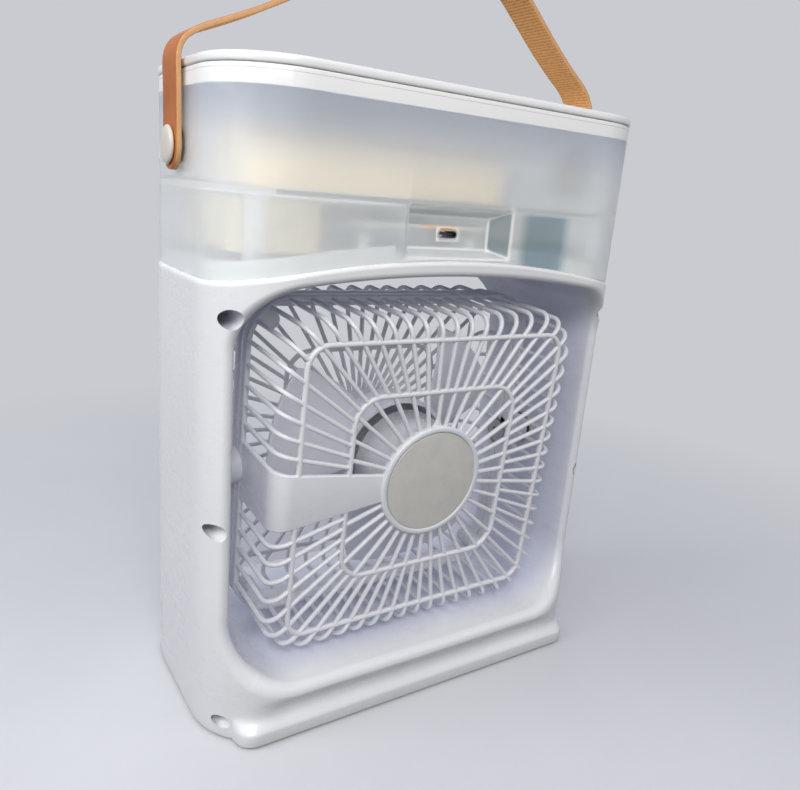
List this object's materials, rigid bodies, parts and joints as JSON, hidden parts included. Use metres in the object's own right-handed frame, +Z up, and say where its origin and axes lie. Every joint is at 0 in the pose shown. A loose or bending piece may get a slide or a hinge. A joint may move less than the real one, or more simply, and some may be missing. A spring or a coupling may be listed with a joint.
{
  "type": "portable camping fan",
  "caption": "Free-standing misting fan: white housing with an open tunnel and a tilting caged head, frosted water tank on top, leather carrying strap.",
  "frame": {"origin": "on the surface the fan stands on, under the middle of the housing", "axes": "+Z up; -Y the way the fan blows; +X to the right seen from the front"},
  "size_m": [0.2042, 0.1042, 0.3208],
  "materials": {
    "white_abs": "glossy moulded white ABS",
    "grey_abs": "matt moulded ABS",
    "inner_abs": "matt moulded ABS",
    "ivory_abs": "matt ivory ABS",
    "cover_abs": "glossy moulded white ABS",
    "cage_abs": "glossy moulded white ABS",
    "impeller_abs": "smooth pale ABS",
    "button_abs": "satin white ABS",
    "frosted_tank": "frosted translucent polypropylene",
    "clear_silicone": "translucent silicone",
    "grey_rubber": "moulded rubber",
    "nylon": "natural nylon",
    "screw_steel": "zinc plated steel",
    "socket_steel": "stamped steel",
    "motor_steel": "drawn steel",
    "disc_metal": "stainless steel disc",
    "bearing_bronze": "sintered bronze",
    "coil_ferrite": "wound coil in tape",
    "circuit_board": "green solder mask",
    "white_board": "white solder mask",
    "black_epoxy": "moulded black epoxy",
    "led_resin": "clear and yellow resin",
    "cell_wrap": "cream polyester tape",
    "cotton_wick": "pressed cotton",
    "lead_pvc": "soft PVC",
    "brown_leather": "smooth brown leather with raw edges",
    "rivet_plastic": "off-white moulded cap",
    "label_disc": "bare satin disc"
  },
  "bodies": {
    "root": {"rear_shell": "white_abs", "front_shell": "white_abs", "base_plate": "grey_abs", "base_screws": "screw_steel", "rubber_feet": "grey_rubber", "shell_screws": "screw_steel", "deck_tray": "inner_abs", "deck_screws": "screw_steel", "main_board": "circuit_board", "board_parts": "black_epoxy", "board_screws": "screw_steel", "usb_socket": "socket_steel", "usb_tongue": "black_epoxy", "port_gasket": "clear_silicone", "battery_pack": "cell_wrap", "mist_board": "circuit_board", "mist_coils": "coil_ferrite", "light_board": "white_board", "light_leds": "led_resin", "tank": "frosted_tank", "mist_housing": "ivory_abs", "mist_discs": "disc_metal", "disc_seals": "clear_silicone", "nozzle_rings": "white_abs", "wicks": "cotton_wick", "top_cover": "cover_abs", "hinge_pins": "screw_steel", "rivet_caps": "rivet_plastic", "rivet_posts": "screw_steel", "rivet_washers": "screw_steel", "pivot_bushes": "nylon", "housing_lead": "lead_pvc", "button_lead": "lead_pvc", "button_board": "circuit_board", "tact_switches": "black_epoxy"},
    "fan_head": {"cage_rear": "cage_abs", "hub_disc": "label_disc", "cage_front": "cage_abs", "cage_screws": "screw_steel", "motor_can": "motor_steel", "motor_plate": "cage_abs", "motor_screws": "screw_steel", "motor_bearings": "bearing_bronze", "pivot_pins": "motor_steel", "pivot_washers": "grey_rubber", "motor_lead": "lead_pvc"},
    "impeller": {"impeller": "impeller_abs", "impeller_nut": "bearing_bronze", "motor_shaft": "motor_steel"},
    "strap": {"strap": "brown_leather"},
    "fill_lid": {"fill_lid": "cover_abs", "lid_gasket": "clear_silicone"},
    "power_button": {"power_button": "button_abs"},
    "mist_button": {"mist_button": "button_abs"},
    "light_button": {"light_button": "button_abs"}
  },
  "joints": [
    {"name": "fan_tilt", "type": "hinge", "parent": "root", "child": "fan_head", "pos_m": [0, 0, 0.1005], "axis": [1, 0, 0], "range_deg": [-3, 26]},
    {"name": "impeller_spin", "type": "hinge", "parent": "fan_head", "child": "impeller", "pos_m": [0, 0, 0.1005], "axis": [0, 0.9976, -0.0698], "continuous": true},
    {"name": "strap_swing", "type": "hinge", "parent": "root", "child": "strap", "pos_m": [0, 0, 0.2258], "axis": [-1, 0, 0], "range_deg": [-18, 18]},
    {"name": "lid_hinge", "type": "hinge", "parent": "root", "child": "fill_lid", "pos_m": [0, -0.0105, 0.254], "axis": [-1, 0, 0], "range_deg": [0, 85]},
    {"name": "power_press", "type": "slide", "parent": "root", "child": "power_button", "axis": [0, 1, 0], "range_m": [0, 0.001], "stiffness_N_per_m": 500},
    {"name": "mist_press", "type": "slide", "parent": "root", "child": "mist_button", "axis": [0, 1, 0], "range_m": [0, 0.001], "stiffness_N_per_m": 500},
    {"name": "light_press", "type": "slide", "parent": "root", "child": "light_button", "axis": [0, 1, 0], "range_m": [0, 0.001], "stiffness_N_per_m": 500}
  ]
}
